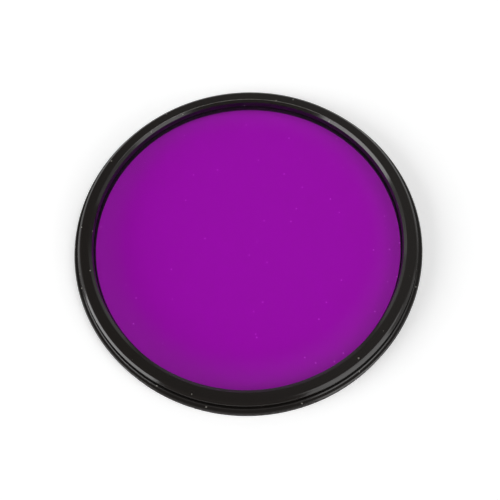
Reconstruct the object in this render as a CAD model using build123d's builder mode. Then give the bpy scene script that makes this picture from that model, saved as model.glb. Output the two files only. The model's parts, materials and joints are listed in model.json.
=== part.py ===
"""Screw-in lens filter: a turned aluminium ring, a coloured glass disc and the ring that holds it.

The filter lies on its front rim. +Z is the optical axis and points to the camera side, where the
male thread is. The origin is the centre of the front rim. All sizes are in millimetres.
"""

import os
from math import pi

from build123d import *

# Filter thread, M77 x 0.75, with the root and crest depths of the metric profile
thread_diameter = 77.0
thread_pitch = 0.75
male_root_ratio = 0.6134
female_crest_ratio = 0.5413

# Heights along the optical axis, from the front rim to the rear face
front_thread_depth = 1.0
retainer_recess = 0.1
retainer_height = 0.8
glass_thickness = 1.5
lip_thickness = 2.0
male_length = 2.15
land_height = 0.15
retainer_runout = 0.15

# Radial steps, from the male thread outwards and inwards
flange_step = 1.45
relief_step = 0.3
land_width = 0.15
relief_margin = 0.04
pocket_wall = 0.9
lip_cover = 1.63
retainer_step = 0.4
retainer_width = 2.21

# Thread relief at the foot of the male thread, inside the land that bears on the lens
relief_depth = 0.45
relief_rise = 0.2

# Fits
glass_clearance = 0.1
retainer_clearance = 0.04

# Lead-in cone of the male thread and broken edges
lead_in_width = 0.76
lead_in_height = 0.44
rear_inner_chamfer = 0.6
flange_rear_chamfer = 0.28
flange_front_chamfer = 0.25
mouth_chamfer = 0.35
glass_bevel = 0.2
retainer_inner_chamfer = 0.3
retainer_outer_chamfer = 0.12

# Grip on the flange: straight V grooves between two plain bands
grip_pitch = 1.7
grip_depth = 0.25
grip_width = 0.8
grip_rear_band = 0.75
grip_front_band = 0.7

# Spanner notches in the retaining ring
notch_count = 2
notch_width = 1.6
notch_depth = 0.4

# Heights that follow
retainer_front = front_thread_depth + retainer_recess
glass_front = retainer_front + retainer_height
glass_rear = glass_front + glass_thickness
rear_face = glass_rear + lip_thickness
land_rear = rear_face - male_length
flange_rear = land_rear - land_height
relief_floor = land_rear - relief_depth
relief_top = land_rear + relief_rise
pocket_floor = glass_front + retainer_runout

# Radii that follow
thread_radius = thread_diameter / 2
front_thread_radius = thread_radius - female_crest_ratio * thread_pitch
relief_radius = thread_radius - male_root_ratio * thread_pitch - relief_margin
relief_outer_radius = thread_radius + relief_step
land_radius = relief_outer_radius + land_width
flange_radius = thread_radius + flange_step
pocket_radius = relief_radius - pocket_wall
glass_radius = pocket_radius - glass_clearance
lip_radius = glass_radius - lip_cover
retainer_bore_radius = pocket_radius + retainer_step
retainer_radius = retainer_bore_radius - retainer_clearance
retainer_inner_radius = retainer_radius - retainer_width
retainer_middle_radius = retainer_radius - retainer_width / 2

edge_tolerance = 1e-4


def rim(part, radius, height):
    """The round edge of a turned part that has this radius at this height."""

    def at_rim(edge):
        on_height = abs(edge.arc_center.Z - height) < edge_tolerance
        return on_height and abs(edge.radius - radius) < edge_tolerance

    return part.edges().filter_by(GeomType.CIRCLE).filter_by(at_rim)


os.makedirs("parts", exist_ok=True)

# Filter ring: one turned section, from the front rim round the flange and back through the bore
with BuildPart() as filter_ring:
    with BuildSketch(Plane.XZ) as ring_section:
        with BuildLine():
            Polyline(
                (front_thread_radius, 0),
                (flange_radius, 0),
                (flange_radius, flange_rear),
                (land_radius + land_height, flange_rear),
                (land_radius, land_rear),
                (relief_outer_radius, land_rear),
                (relief_outer_radius, relief_floor),
                (relief_radius, relief_floor),
                (relief_radius, relief_top),
                (thread_radius, relief_top),
                (thread_radius, rear_face - lead_in_height),
                (thread_radius - lead_in_width, rear_face),
                (lip_radius, rear_face),
                (lip_radius, glass_rear),
                (pocket_radius, glass_rear),
                (pocket_radius, pocket_floor),
                (retainer_bore_radius, pocket_floor),
                (retainer_bore_radius, front_thread_depth),
                (front_thread_radius, front_thread_depth),
                close=True,
            )
        make_face()
    revolve(axis=Axis.Z)

    # Mouth of the female thread and broken edges
    chamfer(rim(filter_ring, lip_radius, rear_face), rear_inner_chamfer)
    chamfer(rim(filter_ring, flange_radius, flange_rear), flange_rear_chamfer)
    chamfer(rim(filter_ring, flange_radius, 0), flange_front_chamfer)
    chamfer(rim(filter_ring, front_thread_radius, 0), mouth_chamfer)

    # Grip: V grooves all round the flange, as many as the pitch gives
    grip_count = round(2 * pi * flange_radius / grip_pitch)
    grip_length = flange_rear - grip_front_band - grip_rear_band
    with BuildSketch(Plane.XY.offset(grip_front_band)) as grip_grooves:
        with PolarLocations(flange_radius, grip_count):
            Polygon(
                (-grip_depth, 0),
                (grip_depth, -grip_width),
                (grip_depth, grip_width),
                align=None,
            )
    extrude(amount=grip_length, mode=Mode.SUBTRACT)

filter_ring.part.label = "filter_ring"
export_step(filter_ring.part, "parts/filter_ring.step")

# Glass disc: clamped between the lip and the retaining ring
with BuildPart() as filter_glass:
    with BuildSketch(Plane.XY.offset(glass_front)):
        Circle(glass_radius)
    extrude(amount=glass_thickness)
    chamfer(filter_glass.edges().filter_by(GeomType.CIRCLE), glass_bevel)

filter_glass.part.label = "filter_glass"
export_step(filter_glass.part, "parts/filter_glass.step")

# Retaining ring: screwed in from the front until it meets the glass
with BuildPart() as retaining_ring:
    with BuildSketch(Plane.XY.offset(retainer_front)):
        Circle(retainer_radius)
        Circle(retainer_inner_radius, mode=Mode.SUBTRACT)
    extrude(amount=retainer_height)
    chamfer(rim(retaining_ring, retainer_inner_radius, retainer_front), retainer_inner_chamfer)
    chamfer(rim(retaining_ring, retainer_radius, retainer_front), retainer_outer_chamfer)
    chamfer(rim(retaining_ring, retainer_radius, glass_front), retainer_outer_chamfer)

    # Spanner notches, open across the front face of the ring
    with BuildSketch(Plane.XY.offset(retainer_front)) as spanner_notches:
        with PolarLocations(retainer_middle_radius, notch_count):
            Rectangle(2 * retainer_width, notch_width)
    extrude(amount=notch_depth, mode=Mode.SUBTRACT)

retaining_ring.part.label = "retaining_ring"
export_step(retaining_ring.part, "parts/retaining_ring.step")
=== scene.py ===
# %% [markdown]
# # A screw-in lens filter
#
# A lens filter is a thin turned ring that holds a disc of coloured glass. One side has a male
# thread that screws into a lens, the other a female thread for the next filter. This lesson
# dresses the three solids of such a filter: the black ring with its threads and grip, the purple
# glass, and the thin ring that keeps the glass in place.
#
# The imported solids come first. They are the fixed frame: every piece below is made in metres, in
# the same place as the solid that it stands for.

# %% Load the frame
import json
import math

import bpy
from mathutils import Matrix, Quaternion, Vector


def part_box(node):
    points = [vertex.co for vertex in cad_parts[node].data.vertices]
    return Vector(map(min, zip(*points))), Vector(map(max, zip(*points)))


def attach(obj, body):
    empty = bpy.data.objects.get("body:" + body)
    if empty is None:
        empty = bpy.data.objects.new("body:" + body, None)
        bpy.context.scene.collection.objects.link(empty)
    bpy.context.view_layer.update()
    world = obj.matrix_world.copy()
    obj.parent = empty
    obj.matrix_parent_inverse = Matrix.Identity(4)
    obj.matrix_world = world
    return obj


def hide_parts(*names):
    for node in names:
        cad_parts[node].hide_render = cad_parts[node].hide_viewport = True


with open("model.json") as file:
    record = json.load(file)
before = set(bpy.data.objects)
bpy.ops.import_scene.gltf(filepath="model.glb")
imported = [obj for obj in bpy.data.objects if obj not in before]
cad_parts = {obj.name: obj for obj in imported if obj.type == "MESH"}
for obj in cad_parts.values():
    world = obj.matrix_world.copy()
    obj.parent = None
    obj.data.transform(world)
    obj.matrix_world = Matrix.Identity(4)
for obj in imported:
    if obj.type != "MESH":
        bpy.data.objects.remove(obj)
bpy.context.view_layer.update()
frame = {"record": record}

# %% [markdown]
# ## Sizes
#
# What the frame already knows is read from it: the boxes of the three solids and the thread radii
# in the record's mounts. The small steps of the turned section, such as chamfers, are written here
# as real sizes.

# %% Sizes from the frame
MM = 0.001

ring_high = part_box("filter_ring")[1]
glass_low, glass_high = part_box("filter_glass")
retainer_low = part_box("retaining_ring")[0]
mounts = {mount["name"]: mount for mount in frame["record"]["mounts"]}

flange_radius = ring_high.x
rear_face = ring_high.z
thread_radius = mounts["rear_thread"]["dims"]["r_mm"] * MM
front_thread_radius = mounts["front_thread"]["dims"]["r_mm"] * MM
glass_front, glass_rear = glass_low.z, glass_high.z
retainer_front = retainer_low.z
print("flange radius", flange_radius / MM, "height", rear_face / MM)
print("thread radius", thread_radius / MM)

# %% Small sizes of the turned section
THREAD_PITCH = 0.75 * MM
MALE_LENGTH = 2.15 * MM
LAND_HEIGHT = 0.15 * MM
LAND_WIDTH = 0.15 * MM
RELIEF_STEP = 0.3 * MM
RELIEF_DEPTH = 0.45 * MM
RELIEF_RISE = 0.2 * MM
RELIEF_RADIUS = 38.0 * MM
FRONT_THREAD_DEPTH = 1.0 * MM
RETAINER_BORE_RADIUS = 37.5 * MM
POCKET_RADIUS = 37.1 * MM
LIP_RADIUS = 35.37 * MM
RETAINER_RUNOUT = 0.15 * MM

land_rear = rear_face - MALE_LENGTH
flange_rear = land_rear - LAND_HEIGHT
relief_floor = land_rear - RELIEF_DEPTH
relief_top = land_rear + RELIEF_RISE
relief_outer_radius = thread_radius + RELIEF_STEP
land_radius = relief_outer_radius + LAND_WIDTH
pocket_floor = glass_front + RETAINER_RUNOUT
print("flange", flange_rear / MM, "mm high, relief floor at", relief_floor / MM, "mm")

# %% [markdown]
# ## Camera
#
# The photograph looks down on the filter from 66 degrees, quite close, and is turned by a few
# degrees. The camera aims at the centre of the rear face, so its shift alone moves that centre to
# its place in the picture.

# %% Camera
CAMERA_ELEVATION = math.radians(66.007)
CAMERA_ROLL = math.radians(-4.575)
CAMERA_DISTANCE = 129.08 * MM
SENSOR_WIDTH = 36.0
FOCAL_PIXELS = 568.78
IMAGE_PIXELS = 500.0
CENTRE_OFFSET_PIXELS = (-3.51, -20.55)
NEAREST_SEEN = 1 * MM


def deselect():
    bpy.ops.object.select_all(action="DESELECT")


aim = Vector((0.0, 0.0, rear_face))
away = Vector((0.0, -math.cos(CAMERA_ELEVATION), math.sin(CAMERA_ELEVATION)))
deselect()
bpy.ops.object.camera_add(location=aim + away * CAMERA_DISTANCE)
camera = bpy.context.object
camera.name = "photo_camera"
camera.rotation_mode = "QUATERNION"
camera.rotation_quaternion = away.to_track_quat("Z", "Y") @ Quaternion((0, 0, 1), CAMERA_ROLL)
camera.data.sensor_width = SENSOR_WIDTH
camera.data.lens = SENSOR_WIDTH * FOCAL_PIXELS / IMAGE_PIXELS
camera.data.shift_x = -CENTRE_OFFSET_PIXELS[0] / IMAGE_PIXELS
camera.data.shift_y = CENTRE_OFFSET_PIXELS[1] / IMAGE_PIXELS
camera.data.clip_start = NEAREST_SEEN
bpy.context.scene.camera = camera
bpy.context.scene.view_settings.view_transform = "Standard"
camera_place = tuple(round(c / MM, 1) for c in camera.location)
print("camera at", camera_place, "mm, lens", round(camera.data.lens, 2))

# %% [markdown]
# ## Turned pieces
#
# A lathe makes a ring by cutting one section all the way round, and Spin does the same. A circle
# primitive has a closed loop of points, so it is taken as the section: each of its points goes to
# a corner of the section, a vertex bevel breaks the corners a little, and Spin carries the loop
# round the optical axis. Modelling the ring from stacked cylinders would need many joins and leave
# the corners sharp.

# %% Spin a section into a ring
EDGE_ROUND = 0.04 * MM
ROUND_SEGMENTS = 2
MERGE_DISTANCE = 0.001 * MM


def section_loop(name, section):
    """A closed loop of edges with one point at each (radius, height) corner of the section."""
    deselect()
    bpy.ops.mesh.primitive_circle_add(vertices=len(section), radius=flange_radius)
    loop = bpy.context.object
    loop.name = name
    for vertex, (radius, height) in zip(loop.data.vertices, section):
        vertex.co = (radius, 0.0, height)
    return loop


def turned(name, section, steps):
    """A ring whose section is a list of (radius, height) corners."""
    piece = section_loop(name, section)
    bpy.ops.object.mode_set(mode="EDIT")
    bpy.ops.mesh.select_all(action="SELECT")
    bpy.ops.mesh.bevel(offset=EDGE_ROUND, segments=ROUND_SEGMENTS, affect="VERTICES")
    bpy.ops.mesh.select_all(action="SELECT")
    bpy.ops.mesh.spin(steps=steps, angle=2 * math.pi, center=(0, 0, 0), axis=(0, 0, 1))
    bpy.ops.mesh.select_all(action="SELECT")
    bpy.ops.mesh.remove_doubles(threshold=MERGE_DISTANCE)
    bpy.ops.mesh.normals_make_consistent(inside=False)
    bpy.ops.object.mode_set(mode="OBJECT")
    return piece


# %% [markdown]
# ## Filter ring
#
# The ring is one turned piece. Going round its section from the front rim: the flange with the
# grip, the narrow land that bears on the lens, the groove at the foot of the male thread, the male
# thread, the lead-in cone with its eased upper edge, the flat rear face with a chamfer inside it,
# the lip that the glass rests on, the pocket for the glass, and the female thread. The number of
# steps is four for each grip groove, so that every fourth column of points can become the bottom
# of a groove.

# %% Turn the ring
GRIP_PITCH = 1.7 * MM
COLUMNS_PER_GROOVE = 4
LEAD_IN_WIDTH = 0.76 * MM
LEAD_IN_HEIGHT = 0.44 * MM
EASED_WIDTH = 0.26 * MM
EASED_HEIGHT = 0.065 * MM
REAR_INNER_CHAMFER = 0.6 * MM
FLANGE_REAR_CHAMFER = 0.28 * MM
FLANGE_FRONT_CHAMFER = 0.25 * MM
MOUTH_CHAMFER = 0.35 * MM

ring_section = [
    (front_thread_radius + MOUTH_CHAMFER, 0.0),
    (flange_radius - FLANGE_FRONT_CHAMFER, 0.0),
    (flange_radius, FLANGE_FRONT_CHAMFER),
    (flange_radius, flange_rear - FLANGE_REAR_CHAMFER),
    (flange_radius - FLANGE_REAR_CHAMFER, flange_rear),
    (land_radius + LAND_HEIGHT, flange_rear),
    (land_radius, land_rear),
    (relief_outer_radius, land_rear),
    (relief_outer_radius, relief_floor),
    (RELIEF_RADIUS, relief_floor),
    (RELIEF_RADIUS, relief_top),
    (thread_radius, relief_top),
    (thread_radius, rear_face - LEAD_IN_HEIGHT),
    (thread_radius - LEAD_IN_WIDTH + EASED_WIDTH, rear_face - EASED_HEIGHT),
    (thread_radius - LEAD_IN_WIDTH, rear_face),
    (LIP_RADIUS + REAR_INNER_CHAMFER, rear_face),
    (LIP_RADIUS, rear_face - REAR_INNER_CHAMFER),
    (LIP_RADIUS, glass_rear),
    (POCKET_RADIUS, glass_rear),
    (POCKET_RADIUS, pocket_floor),
    (RETAINER_BORE_RADIUS, pocket_floor),
    (RETAINER_BORE_RADIUS, FRONT_THREAD_DEPTH),
    (front_thread_radius, FRONT_THREAD_DEPTH),
    (front_thread_radius, MOUTH_CHAMFER),
]
groove_count = round(2 * math.pi * flange_radius / GRIP_PITCH)
ring_steps = groove_count * COLUMNS_PER_GROOVE
filter_ring = turned("filter_ring_turned", ring_section, ring_steps)
print("ring:", ring_steps, "steps,", len(filter_ring.data.polygons), "faces")

# %% [markdown]
# ## Grip
#
# Straight grooves round the flange give the fingers a hold. Bisect adds rows of points to the
# plain wall of the flange, one at each end of a groove and one where its run-out ends. Then every
# fourth column between the rows is scaled towards the axis, which presses in all the grooves at
# once.

# %% Press the grip grooves
GRIP_FRONT_BAND = 0.7 * MM
GRIP_REAR_BAND = 0.75 * MM
GRIP_RUNOUT = 0.1 * MM
GRIP_DEPTH = 0.25 * MM
ON_SURFACE = 0.005 * MM


def radius_of(point):
    return math.hypot(point[0], point[1])


def select_nothing():
    """Leaves edit mode with no point, edge or face selected, so that code can select its own."""
    bpy.ops.object.mode_set(mode="EDIT")
    bpy.ops.mesh.select_all(action="DESELECT")
    bpy.ops.object.mode_set(mode="OBJECT")


def column_of(point, steps):
    return round(math.atan2(point[1], point[0]) / (2 * math.pi) * steps) % steps


grip_front = GRIP_FRONT_BAND
grip_rear = flange_rear - GRIP_REAR_BAND
grip_rows = [grip_front, grip_front + GRIP_RUNOUT, grip_rear - GRIP_RUNOUT, grip_rear]
wall_middle = (FLANGE_FRONT_CHAMFER + flange_rear - FLANGE_REAR_CHAMFER) / 2
wall_half_height = wall_middle - FLANGE_FRONT_CHAMFER

for row in grip_rows:
    select_nothing()
    for face in filter_ring.data.polygons:
        on_wall = abs(radius_of(face.center) - flange_radius) < ON_SURFACE
        face.select = on_wall and abs(face.center.z - wall_middle) < wall_half_height
    bpy.ops.object.mode_set(mode="EDIT")
    bpy.ops.mesh.bisect(plane_co=(0, 0, row), plane_no=(0, 0, 1))
    bpy.ops.object.mode_set(mode="OBJECT")

select_nothing()
grooved = [
    vertex
    for vertex in filter_ring.data.vertices
    if grip_rows[1] - ON_SURFACE < vertex.co.z < grip_rows[2] + ON_SURFACE
    and abs(radius_of(vertex.co) - flange_radius) < ON_SURFACE
    and column_of(vertex.co, ring_steps) % COLUMNS_PER_GROOVE == 0
]
for vertex in grooved:
    vertex.select = True
pressed = (flange_radius - GRIP_DEPTH) / flange_radius
bpy.ops.object.mode_set(mode="EDIT")
bpy.ops.transform.resize(value=(pressed, pressed, 1), center_override=(0, 0, 0))
bpy.ops.object.mode_set(mode="OBJECT")
print("grip:", groove_count, "grooves,", len(grooved), "points pressed in")

# %% [markdown]
# ## Threads
#
# A lathe cuts a thread with a pointed tool that follows a helix. Here the Screw modifier sweeps
# the tool's tip along that helix, and a Boolean takes the swept shape out of the ring. The tip has
# the 60 degree flanks and the small flat of a metric thread. The male thread starts in the groove
# at the flange and stops short of the lead-in cone. The female thread starts outside the rim.

# %% Sweep the cutting tool
FLANK_ANGLE = math.radians(30)
TIP_FLAT = THREAD_PITCH / 8
TOOL_STEPS = 360


def thread_tool(name, tip_radius, mouth_radius, first_height, turns, last_angle):
    """The shape that a threading tool sweeps, with its last turn ending at last_angle."""
    half_tip = TIP_FLAT / 2
    half_mouth = half_tip + abs(mouth_radius - tip_radius) * math.tan(FLANK_ANGLE)
    section = [
        (tip_radius, first_height - half_tip),
        (mouth_radius, first_height - half_mouth),
        (mouth_radius, first_height + half_mouth),
        (tip_radius, first_height + half_tip),
    ]
    tool = section_loop(name, section)
    screw = tool.modifiers.new("helix", "SCREW")
    screw.axis = "Z"
    screw.angle = 2 * math.pi * turns
    screw.screw_offset = THREAD_PITCH * turns
    screw.steps = screw.render_steps = round(TOOL_STEPS * turns)
    bpy.ops.object.modifier_apply(modifier=screw.name)
    bpy.ops.object.mode_set(mode="EDIT")
    bpy.ops.mesh.select_all(action="SELECT")
    bpy.ops.mesh.fill_holes(sides=len(section))
    bpy.ops.mesh.select_all(action="SELECT")
    bpy.ops.mesh.normals_make_consistent(inside=False)
    bpy.ops.object.mode_set(mode="OBJECT")
    tool.rotation_euler.z = last_angle - 2 * math.pi * turns
    bpy.ops.object.transform_apply(location=False, rotation=True, scale=False)
    return tool


def cut(piece, tool):
    """Takes the tool's shape out of the piece."""
    deselect()
    piece.select_set(True)
    bpy.context.view_layer.objects.active = piece
    boolean = piece.modifiers.new("cut", "BOOLEAN")
    boolean.operation = "DIFFERENCE"
    boolean.solver = "MANIFOLD"
    boolean.object = tool
    bpy.ops.object.modifier_apply(modifier=boolean.name)
    bpy.data.objects.remove(tool)


# %% Cut both threads
TOOL_OVERLAP = 0.05 * MM
MALE_ROOT_DEPTH = 0.44 * MM
FEMALE_ROOT_DEPTH = 0.42 * MM
MALE_START_BELOW_LAND = 0.05 * MM
MALE_TURNS = 1.9
FEMALE_START_BELOW_RIM = 0.45 * MM
FEMALE_TURNS = 1.45
FAR_SIDE = math.pi / 2
SMOOTH_ANGLE = math.radians(8)

male_tool = thread_tool(
    "male_thread_tool",
    tip_radius=thread_radius - MALE_ROOT_DEPTH,
    mouth_radius=thread_radius + TOOL_OVERLAP,
    first_height=land_rear - MALE_START_BELOW_LAND,
    turns=MALE_TURNS,
    last_angle=FAR_SIDE,
)
cut(filter_ring, male_tool)
female_tool = thread_tool(
    "female_thread_tool",
    tip_radius=front_thread_radius + FEMALE_ROOT_DEPTH,
    mouth_radius=front_thread_radius - TOOL_OVERLAP,
    first_height=-FEMALE_START_BELOW_RIM,
    turns=FEMALE_TURNS,
    last_angle=FAR_SIDE,
)
cut(filter_ring, female_tool)
bpy.ops.object.shade_smooth_by_angle(angle=SMOOTH_ANGLE)
print("ring with threads:", len(filter_ring.data.polygons), "faces")

# %% [markdown]
# ## Glass
#
# The glass is a flat disc with ground edges. A cylinder primitive gives the disc, and a bevel on
# its two rims gives the ground edge.

# %% Glass disc
GLASS_RADIUS = 37.0 * MM
GLASS_BEVEL = 0.2 * MM
GLASS_SIDES = 360

deselect()
bpy.ops.mesh.primitive_cylinder_add(
    vertices=GLASS_SIDES,
    radius=GLASS_RADIUS,
    depth=glass_rear - glass_front,
    location=(0, 0, (glass_front + glass_rear) / 2),
)
filter_glass = bpy.context.object
filter_glass.name = "filter_glass_disc"
bpy.ops.object.transform_apply(location=True, rotation=True, scale=True)
select_nothing()
for edge in filter_glass.data.edges:
    first, second = (filter_glass.data.vertices[index].co for index in edge.vertices)
    edge.select = abs(first.z - second.z) < ON_SURFACE
bpy.ops.object.mode_set(mode="EDIT")
bpy.ops.mesh.select_mode(type="EDGE")
bpy.ops.mesh.bevel(offset=GLASS_BEVEL, offset_type="OFFSET", segments=1, affect="EDGES")
bpy.ops.mesh.select_mode(type="VERT")
bpy.ops.object.mode_set(mode="OBJECT")
bpy.ops.object.shade_smooth_by_angle(angle=SMOOTH_ANGLE)
print("glass:", len(filter_glass.data.polygons), "faces")

# %% [markdown]
# ## Retaining ring
#
# A thin threaded ring holds the glass against the lip. It is turned like the filter ring. Two
# notches in its front face take the pins of a spanner, and two boxes cut them.

# %% Retaining ring
RETAINER_RADIUS = 37.46 * MM
RETAINER_INNER_RADIUS = 35.25 * MM
RETAINER_INNER_CHAMFER = 0.3 * MM
RETAINER_OUTER_CHAMFER = 0.12 * MM
RETAINER_STEPS = 360
NOTCH_WIDTH = 1.6 * MM
NOTCH_DEPTH = 0.4 * MM

retainer_section = [
    (RETAINER_INNER_RADIUS + RETAINER_INNER_CHAMFER, retainer_front),
    (RETAINER_RADIUS - RETAINER_OUTER_CHAMFER, retainer_front),
    (RETAINER_RADIUS, retainer_front + RETAINER_OUTER_CHAMFER),
    (RETAINER_RADIUS, glass_front - RETAINER_OUTER_CHAMFER),
    (RETAINER_RADIUS - RETAINER_OUTER_CHAMFER, glass_front),
    (RETAINER_INNER_RADIUS, glass_front),
    (RETAINER_INNER_RADIUS, retainer_front + RETAINER_INNER_CHAMFER),
]
retaining_ring = turned("retaining_ring_turned", retainer_section, RETAINER_STEPS)
for side in (-1, 1):
    deselect()
    bpy.ops.mesh.primitive_cube_add(size=1, location=(side * RETAINER_RADIUS, 0, retainer_front))
    notch = bpy.context.object
    notch.name = "spanner_notch"
    notch.scale = (2 * RETAINER_RADIUS - RETAINER_INNER_RADIUS, NOTCH_WIDTH, 2 * NOTCH_DEPTH)
    bpy.ops.object.transform_apply(location=True, rotation=True, scale=True)
    cut(retaining_ring, notch)
bpy.ops.object.shade_smooth_by_angle(angle=SMOOTH_ANGLE)
print("retaining ring:", len(retaining_ring.data.polygons), "faces")

# %% [markdown]
# ## Finishes
#
# The ring is black anodised aluminium with a fine satin grain. The same grain, at another scale,
# is on the retaining ring, so it is a node group. The group gives a height for Bump and a small
# change of roughness. Two more groups make masks: one marks a band between two radii, below a
# height, and one scatters specks of dust. The ring uses the band three times: for the matt grip,
# for the bore's wall, which is half matt and has a darker black, and for the inner edge of the
# rear face, where a painted highlight, a paler grey in patches, lies on one side.

# %% Grain shared by the black parts
GRAIN_DETAIL = 3.0


def new_group(name, inputs, outputs):
    group = bpy.data.node_groups.new(name, "ShaderNodeTree")
    for socket, kind, default in inputs:
        made = group.interface.new_socket(socket, in_out="INPUT", socket_type=kind)
        if default is not None:
            made.default_value = default
    for socket, kind in outputs:
        group.interface.new_socket(socket, in_out="OUTPUT", socket_type=kind)
    return group, group.nodes.new("NodeGroupInput"), group.nodes.new("NodeGroupOutput")


def maths(nodes, operation, kind="ShaderNodeMath"):
    """A node that calculates, set to this operation."""
    node = nodes.new(kind)
    node.operation = operation
    return node


def satin_grain():
    group, given, result = new_group(
        "satin_grain",
        [
            ("Vector", "NodeSocketVector", None),
            ("Grain Scale", "NodeSocketFloat", 6000.0),
            ("Roughness", "NodeSocketFloat", 0.45),
            ("Roughness Spread", "NodeSocketFloat", 0.08),
        ],
        [("Height", "NodeSocketFloat"), ("Roughness", "NodeSocketFloat")],
    )
    links = group.links
    grain = group.nodes.new("ShaderNodeTexNoise")
    grain.inputs["Detail"].default_value = GRAIN_DETAIL
    links.new(given.outputs["Vector"], grain.inputs["Vector"])
    links.new(given.outputs["Grain Scale"], grain.inputs["Scale"])
    spread = maths(group.nodes, "MULTIPLY_ADD")
    links.new(grain.outputs["Fac"], spread.inputs[0])
    links.new(given.outputs["Roughness Spread"], spread.inputs[1])
    links.new(given.outputs["Roughness"], spread.inputs[2])
    links.new(grain.outputs["Fac"], result.inputs["Height"])
    links.new(spread.outputs["Value"], result.inputs["Roughness"])
    return group


SATIN_GRAIN = satin_grain()
print("node group", SATIN_GRAIN.name)

# %% Masks shared by the finishes
def round_band():
    """Grows from 0 to 1 between two radii, and is 0 beyond the end radius or above the height."""
    group, given, result = new_group(
        "round_band",
        [
            ("Vector", "NodeSocketVector", None),
            ("From Radius", "NodeSocketFloat", 0.0),
            ("To Radius", "NodeSocketFloat", 1.0),
            ("End Radius", "NodeSocketFloat", 1.0),
            ("Height", "NodeSocketFloat", 1.0),
        ],
        [("Mask", "NodeSocketFloat")],
    )
    links = group.links
    across = maths(group.nodes, "MULTIPLY", "ShaderNodeVectorMath")
    across.inputs[1].default_value = (1, 1, 0)
    radius = maths(group.nodes, "LENGTH", "ShaderNodeVectorMath")
    ramp = group.nodes.new("ShaderNodeMapRange")
    within = maths(group.nodes, "LESS_THAN")
    parts = group.nodes.new("ShaderNodeSeparateXYZ")
    below = maths(group.nodes, "LESS_THAN")
    area = maths(group.nodes, "MULTIPLY")
    band = maths(group.nodes, "MULTIPLY")
    links.new(given.outputs["Vector"], across.inputs[0])
    links.new(across.outputs["Vector"], radius.inputs[0])
    links.new(radius.outputs["Value"], ramp.inputs["Value"])
    links.new(given.outputs["From Radius"], ramp.inputs["From Min"])
    links.new(given.outputs["To Radius"], ramp.inputs["From Max"])
    links.new(radius.outputs["Value"], within.inputs[0])
    links.new(given.outputs["End Radius"], within.inputs[1])
    links.new(given.outputs["Vector"], parts.inputs["Vector"])
    links.new(parts.outputs["Z"], below.inputs[0])
    links.new(given.outputs["Height"], below.inputs[1])
    links.new(within.outputs["Value"], area.inputs[0])
    links.new(below.outputs["Value"], area.inputs[1])
    links.new(ramp.outputs["Result"], band.inputs[0])
    links.new(area.outputs["Value"], band.inputs[1])
    links.new(band.outputs["Value"], result.inputs["Mask"])
    return group


def dust_specks():
    """Round specks in some of the cells of a Voronoi pattern."""
    group, given, result = new_group(
        "dust_specks",
        [
            ("Vector", "NodeSocketVector", None),
            ("Cells", "NodeSocketFloat", 500.0),
            ("Speck Size", "NodeSocketFloat", 0.09),
            ("Share", "NodeSocketFloat", 0.5),
        ],
        [("Mask", "NodeSocketFloat")],
    )
    links = group.links
    cells = group.nodes.new("ShaderNodeTexVoronoi")
    inside = maths(group.nodes, "LESS_THAN")
    dice = group.nodes.new("ShaderNodeSeparateColor")
    chosen = maths(group.nodes, "LESS_THAN")
    both = maths(group.nodes, "MULTIPLY")
    links.new(given.outputs["Vector"], cells.inputs["Vector"])
    links.new(given.outputs["Cells"], cells.inputs["Scale"])
    links.new(cells.outputs["Distance"], inside.inputs[0])
    links.new(given.outputs["Speck Size"], inside.inputs[1])
    links.new(cells.outputs["Color"], dice.inputs["Color"])
    links.new(dice.outputs["Red"], chosen.inputs[0])
    links.new(given.outputs["Share"], chosen.inputs[1])
    links.new(inside.outputs["Value"], both.inputs[0])
    links.new(chosen.outputs["Value"], both.inputs[1])
    links.new(both.outputs["Value"], result.inputs["Mask"])
    return group


ROUND_BAND = round_band()
DUST_SPECKS = dust_specks()
print("node groups", ROUND_BAND.name, DUST_SPECKS.name)


# %% Small helpers for the materials
def use_group(nodes, group, **values):
    """A node of this group. Underscores in the names of values stand for spaces."""
    node = nodes.new("ShaderNodeGroup")
    node.node_tree = group
    for name, value in values.items():
        node.inputs[name.replace("_", " ")].default_value = value
    return node


def colour_mix(material, mask, first, second):
    """A colour that goes from the first to the second by the mask. The first may be a socket."""
    mix = material.node_tree.nodes.new("ShaderNodeMix")
    mix.data_type = "RGBA"
    colours = [socket for socket in mix.inputs if socket.type == "RGBA"]
    if isinstance(first, tuple):
        colours[0].default_value = (*first, 1.0)
    else:
        material.node_tree.links.new(first, colours[0])
    colours[1].default_value = (*second, 1.0)
    material.node_tree.links.new(mask, mix.inputs["Factor"])
    return next(socket for socket in mix.outputs if socket.type == "RGBA")


# %% Black anodised finish
DUST_GREY = (0.20, 0.19, 0.17)
# A darker black for the bore's wall, inside the lip radius
BORE_BLACK = (0.0015, 0.0010, 0.0015)
BLACK_SPECULAR = 0.44
BUMP_STRENGTH = 0.5
MATT_ROUGHNESS = 0.95
BORE_MATTNESS = 0.25
# The paler grey below, with its width, side and patches, is a painted highlight on the far inner edge
PAINTED_HIGHLIGHT_GREY = (0.30, 0.29, 0.27)
PAINTED_HIGHLIGHT_WIDTH = 0.06 * MM
PAINTED_HIGHLIGHT_FROM = 20.0 * MM
PAINTED_HIGHLIGHT_TO = 33.0 * MM
PAINTED_HIGHLIGHT_PATCHES = 1200.0


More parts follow.
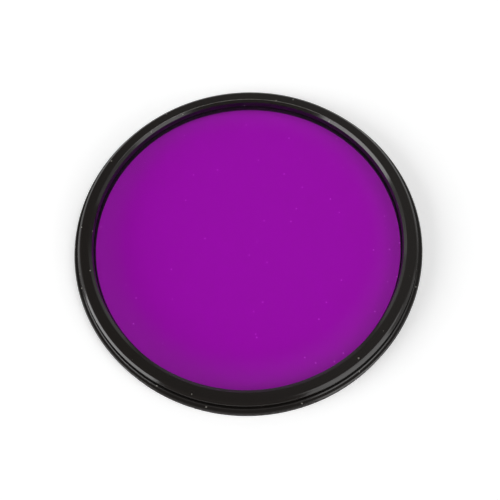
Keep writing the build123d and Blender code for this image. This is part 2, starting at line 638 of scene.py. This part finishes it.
def painted_edge_highlight(material, place, radius):
    """Mask of a painted highlight on one edge, in small patches, growing towards positive Y."""
    nodes, links = material.node_tree.nodes, material.node_tree.links
    edge = use_group(
        nodes,
        ROUND_BAND,
        From_Radius=radius - PAINTED_HIGHLIGHT_WIDTH,
        To_Radius=radius,
        End_Radius=radius + PAINTED_HIGHLIGHT_WIDTH,
    )
    patches = nodes.new("ShaderNodeTexNoise")
    patches.inputs["Scale"].default_value = PAINTED_HIGHLIGHT_PATCHES
    parts = nodes.new("ShaderNodeSeparateXYZ")
    side = nodes.new("ShaderNodeMapRange")
    side.inputs["From Min"].default_value = PAINTED_HIGHLIGHT_FROM
    side.inputs["From Max"].default_value = PAINTED_HIGHLIGHT_TO
    painted_highlight = maths(nodes, "MULTIPLY")
    highlight_in_patches = maths(nodes, "MULTIPLY")
    for node in (edge, patches, parts):
        links.new(place, node.inputs["Vector"])
    links.new(parts.outputs["Y"], side.inputs["Value"])
    links.new(edge.outputs["Mask"], painted_highlight.inputs[0])
    links.new(side.outputs["Result"], painted_highlight.inputs[1])
    links.new(painted_highlight.outputs["Value"], highlight_in_patches.inputs[0])
    links.new(patches.outputs["Fac"], highlight_in_patches.inputs[1])
    return highlight_in_patches.outputs["Value"]


def black_anodised(
    name,
    colour,
    grain_scale,
    roughness,
    bump_distance,
    matt_radius,
    matt_height,
    bore_radius,
    painted_highlight_radius,
):
    """A satin black with a matt grip, a darker bore, a painted highlight on one edge, and dust.

    The grip is beyond the matt radius and below the matt height.
    """
    material = bpy.data.materials.new(name)
    material.use_nodes = True
    nodes, links = material.node_tree.nodes, material.node_tree.links
    shader = nodes["Principled BSDF"]
    shader.inputs["Specular IOR Level"].default_value = BLACK_SPECULAR
    place = nodes.new("ShaderNodeTexCoord")
    grain = use_group(nodes, SATIN_GRAIN, Grain_Scale=grain_scale, Roughness=roughness)
    bump = nodes.new("ShaderNodeBump")
    bump.inputs["Strength"].default_value = BUMP_STRENGTH
    bump.inputs["Distance"].default_value = bump_distance
    outside = use_group(
        nodes,
        ROUND_BAND,
        From_Radius=matt_radius,
        To_Radius=matt_radius + ON_SURFACE,
        Height=matt_height,
    )
    matt = nodes.new("ShaderNodeMix")
    matt.inputs["B"].default_value = MATT_ROUGHNESS
    beyond_bore = use_group(
        nodes,
        ROUND_BAND,
        From_Radius=bore_radius + ON_SURFACE,
        To_Radius=bore_radius + 2 * ON_SURFACE,
    )
    bore = maths(nodes, "SUBTRACT")
    bore.inputs[0].default_value = BORE_MATTNESS
    matt_areas = maths(nodes, "MAXIMUM")
    dust = use_group(nodes, DUST_SPECKS)
    for node in (grain, outside, beyond_bore, dust):
        links.new(place.outputs["Object"], node.inputs["Vector"])
    links.new(grain.outputs["Height"], bump.inputs["Height"])
    links.new(bump.outputs["Normal"], shader.inputs["Normal"])
    links.new(beyond_bore.outputs["Mask"], bore.inputs[1])
    links.new(outside.outputs["Mask"], matt_areas.inputs[0])
    links.new(bore.outputs["Value"], matt_areas.inputs[1])
    links.new(matt_areas.outputs["Value"], matt.inputs["Factor"])
    links.new(grain.outputs["Roughness"], matt.inputs["A"])
    links.new(matt.outputs["Result"], shader.inputs["Roughness"])
    metal = colour_mix(material, beyond_bore.outputs["Mask"], BORE_BLACK, colour)
    # Painted highlight: a paler grey in patches along the inner edge, on the far side
    painted_highlight_mask = painted_edge_highlight(material, place.outputs["Object"], painted_highlight_radius)
    painted_highlight = colour_mix(material, painted_highlight_mask, metal, PAINTED_HIGHLIGHT_GREY)
    dusty = colour_mix(material, dust.outputs["Mask"], painted_highlight, DUST_GREY)
    links.new(dusty, shader.inputs["Base Color"])
    return material


ring_black = black_anodised(
    "ring_satin_black",
    colour=(0.0130, 0.0107, 0.0094),
    grain_scale=6000.0,
    roughness=0.09,
    bump_distance=0.004 * MM,
    matt_radius=flange_radius - GRIP_DEPTH,
    matt_height=flange_rear - FLANGE_REAR_CHAMFER,
    bore_radius=LIP_RADIUS,
    # The inner edge of the rear face gets a painted highlight on its far side
    painted_highlight_radius=LIP_RADIUS + REAR_INNER_CHAMFER,
)
retainer_black = black_anodised(
    "retainer_matt_black",
    colour=(0.008, 0.008, 0.008),
    grain_scale=4000.0,
    roughness=0.5,
    bump_distance=0.01 * MM,
    matt_radius=flange_radius,
    matt_height=0.0,
    bore_radius=0.0,
    # The retaining ring's inner edge gets the same painted highlight
    painted_highlight_radius=RETAINER_INNER_RADIUS + RETAINER_INNER_CHAMFER,
)
print("black finishes:", ring_black.name, retainer_black.name)

# %% [markdown]
# ## Purple glass
#
# The glass is dyed in the mass. The Principled shader with full transmission tints what is seen
# through it. Light that goes down through the glass to the floor takes the same tint, but a path
# tracer treats a refracting surface as a solid shadow. So shadow rays get a tinted transparent
# shader in its place. Towards the lip, where a cleaning cloth can't reach, a thin haze stays on the
# glass: a rough coat whose weight grows with the radius. The glass of a filter is coated, so that it
# mirrors less than bare glass, and an index of refraction below that of bare glass does the same.

# %% Purple glass
GLASS_TINT = (0.414, 0.010, 0.482)
GLASS_DUST = (0.85, 0.35, 0.88)
GLASS_DUST_SHARE = 0.2
COATED_IOR = 1.2
HAZE_FROM = 28.0 * MM
HAZE_TO = 44.0 * MM
HAZE_ROUGHNESS = 0.6


def purple_dyed_glass():
    material = bpy.data.materials.new("purple_dyed_glass")
    material.use_nodes = True
    nodes, links = material.node_tree.nodes, material.node_tree.links
    shader = nodes["Principled BSDF"]
    shader.inputs["Roughness"].default_value = 0.0
    shader.inputs["IOR"].default_value = COATED_IOR
    shader.inputs["Transmission Weight"].default_value = 1.0
    shader.inputs["Coat Roughness"].default_value = HAZE_ROUGHNESS
    place = nodes.new("ShaderNodeTexCoord")
    haze = use_group(nodes, ROUND_BAND, From_Radius=HAZE_FROM, To_Radius=HAZE_TO)
    dust = use_group(nodes, DUST_SPECKS, Share=GLASS_DUST_SHARE)
    links.new(place.outputs["Object"], haze.inputs["Vector"])
    links.new(place.outputs["Object"], dust.inputs["Vector"])
    links.new(haze.outputs["Mask"], shader.inputs["Coat Weight"])
    dusty = colour_mix(material, dust.outputs["Mask"], GLASS_TINT, GLASS_DUST)
    links.new(dusty, shader.inputs["Base Color"])
    # A ray goes through two faces of the disc, so each face takes the root of the tint
    through = nodes.new("ShaderNodeBsdfTransparent")
    through.inputs["Color"].default_value = (*(math.sqrt(c) for c in GLASS_TINT), 1.0)
    path = nodes.new("ShaderNodeLightPath")
    mix = nodes.new("ShaderNodeMixShader")
    links.new(path.outputs["Is Shadow Ray"], mix.inputs["Fac"])
    links.new(shader.outputs["BSDF"], mix.inputs[1])
    links.new(through.outputs["BSDF"], mix.inputs[2])
    links.new(mix.outputs["Shader"], nodes["Material Output"].inputs["Surface"])
    return material


purple_glass = purple_dyed_glass()
print("glass:", purple_glass.name)

# %% [markdown]
# ## Put the pieces on the frame
#
# Each piece takes its finish, rides on the one body of this part and stands for its solid.

# %% Ride and replace
for piece, node, slot, finish in (
    (filter_ring, "filter_ring", "ring_black", ring_black),
    (filter_glass, "filter_glass", "purple_glass", purple_glass),
    (retaining_ring, "retaining_ring", "retainer_black", retainer_black),
):
    piece.data.materials.clear()
    piece.data.materials.append(finish)
    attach(piece, "root")
    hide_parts(node)
    print(piece.name, "stands for", node)

# %% [markdown]
# ## Floor and light
#
# The filter lies on a plain white floor. Large soft windows stand low at the left and the right,
# which is where the cone and the chamfers of the real ring catch the light, and a smaller one is
# high at the right. They are sun lamps with a wide angle, so that the floor is lit evenly to its
# edge. The world adds a dim grey that is brighter at the horizon, low at the far side and in one
# soft patch, which the flat faces mirror. To the camera, and in metal and glass, the floor is
# lifted the rest of the way to white, and it keeps the filter's shadow.

# %% Floor
FLOOR_RADIUS = 1.5
FLOOR_SIDES = 96
FLOOR_WHITE = 0.97
FLOOR_ROUGHNESS = 0.9
FLOOR_LIFT = 0.30

deselect()
bpy.ops.mesh.primitive_circle_add(vertices=FLOOR_SIDES, radius=FLOOR_RADIUS, fill_type="NGON")
floor = bpy.context.object
floor.name = "floor"
floor_white = bpy.data.materials.new("floor_white")
floor_white.use_nodes = True
floor_nodes, floor_links = floor_white.node_tree.nodes, floor_white.node_tree.links
floor_shader = floor_nodes["Principled BSDF"]
floor_shader.inputs["Base Color"].default_value = (FLOOR_WHITE, FLOOR_WHITE, FLOOR_WHITE, 1.0)
floor_shader.inputs["Roughness"].default_value = FLOOR_ROUGHNESS
floor_shader.inputs["Specular IOR Level"].default_value = 0.0
floor_shader.inputs["Emission Color"].default_value = (1.0, 1.0, 1.0, 1.0)
ray = floor_nodes.new("ShaderNodeLightPath")
direct_or_mirrored = maths(floor_nodes, "MAXIMUM")
seen = maths(floor_nodes, "MAXIMUM")
lift = maths(floor_nodes, "MULTIPLY")
lift.inputs[1].default_value = FLOOR_LIFT
floor_links.new(ray.outputs["Is Camera Ray"], direct_or_mirrored.inputs[0])
floor_links.new(ray.outputs["Is Glossy Ray"], direct_or_mirrored.inputs[1])
floor_links.new(direct_or_mirrored.outputs["Value"], seen.inputs[0])
floor_links.new(ray.outputs["Is Transmission Ray"], seen.inputs[1])
floor_links.new(seen.outputs["Value"], lift.inputs[0])
floor_links.new(lift.outputs["Value"], floor_shader.inputs["Emission Strength"])
floor.data.materials.append(floor_white)
print("floor radius", FLOOR_RADIUS, "m")

# %% Lights
LAMP_HEIGHT = 0.5


def sky_direction(azimuth, elevation):
    """Where a light stands, in degrees. Azimuth 0 is right in the picture, 90 is the far side."""
    turn, height = math.radians(azimuth), math.radians(elevation)
    return Vector((
        math.cos(height) * math.cos(turn),
        math.cos(height) * math.sin(turn),
        math.sin(height),
    ))


def soft_sun(name, azimuth, elevation, strength, width):
    """A sun that is as wide as a window."""
    deselect()
    bpy.ops.object.light_add(type="SUN", location=(0, 0, LAMP_HEIGHT))
    lamp = bpy.context.object
    lamp.name = name
    lamp.rotation_mode = "QUATERNION"
    lamp.rotation_quaternion = sky_direction(azimuth, elevation).to_track_quat("Z", "Y")
    lamp.data.energy = strength
    lamp.data.angle = math.radians(width)


soft_sun("left_window", azimuth=198, elevation=20, strength=2.20, width=46)
soft_sun("left_low", azimuth=172, elevation=17, strength=0.45, width=60)
soft_sun("right_window", azimuth=313, elevation=17, strength=0.85, width=44)
soft_sun("right_low", azimuth=335, elevation=25, strength=0.45, width=60)
soft_sun("right_high", azimuth=333, elevation=60, strength=0.62, width=34)

# %% World
WORLD_GREY = 0.12
HORIZON_GLOW = 0.45
HORIZON_ELEVATION = math.radians(16)
FAR_GLOW = 0.40
FAR_TOWARDS = (0.0, 1.0, -1.2)
FAR_REACH = 0.35
PATCH_GLOW = 0.14
PATCH_AZIMUTH = 50
PATCH_ELEVATION = 45
PATCH_INNER_ANGLE = math.radians(12)
PATCH_OUTER_ANGLE = math.radians(48)

world = bpy.data.worlds.new("studio")
world.use_nodes = True
nodes, links = world.node_tree.nodes, world.node_tree.links
direction = nodes.new("ShaderNodeTexCoord")


def glow(towards, dark_from, bright_from, dark, bright):
    """Grows from dark to bright with the part of the direction that points towards the given one."""
    along = maths(nodes, "DOT_PRODUCT", "ShaderNodeVectorMath")
    along.inputs[1].default_value = towards
    change = nodes.new("ShaderNodeMapRange")
    change.interpolation_type = "SMOOTHSTEP"
    change.inputs["From Min"].default_value = dark_from
    change.inputs["From Max"].default_value = bright_from
    change.inputs["To Min"].default_value = dark
    change.inputs["To Max"].default_value = bright
    links.new(direction.outputs["Generated"], along.inputs[0])
    links.new(along.outputs["Value"], change.inputs["Value"])
    return change.outputs["Result"]


def add(first, second):
    total = maths(nodes, "ADD")
    links.new(first, total.inputs[0])
    links.new(second, total.inputs[1])
    return total.outputs["Value"]


patch_towards = sky_direction(PATCH_AZIMUTH, PATCH_ELEVATION)
horizon = glow((0, 0, 1), 0.0, math.sin(HORIZON_ELEVATION), WORLD_GREY + HORIZON_GLOW, WORLD_GREY)
far = glow(FAR_TOWARDS, 0.0, FAR_REACH, 0.0, FAR_GLOW)
patch = glow(patch_towards, math.cos(PATCH_OUTER_ANGLE), math.cos(PATCH_INNER_ANGLE), 0.0, PATCH_GLOW)
links.new(add(add(horizon, far), patch), nodes["Background"].inputs["Strength"])
nodes["Background"].inputs["Color"].default_value = (1, 1, 1, 1)
bpy.context.scene.world = world
print("world:", world.name)
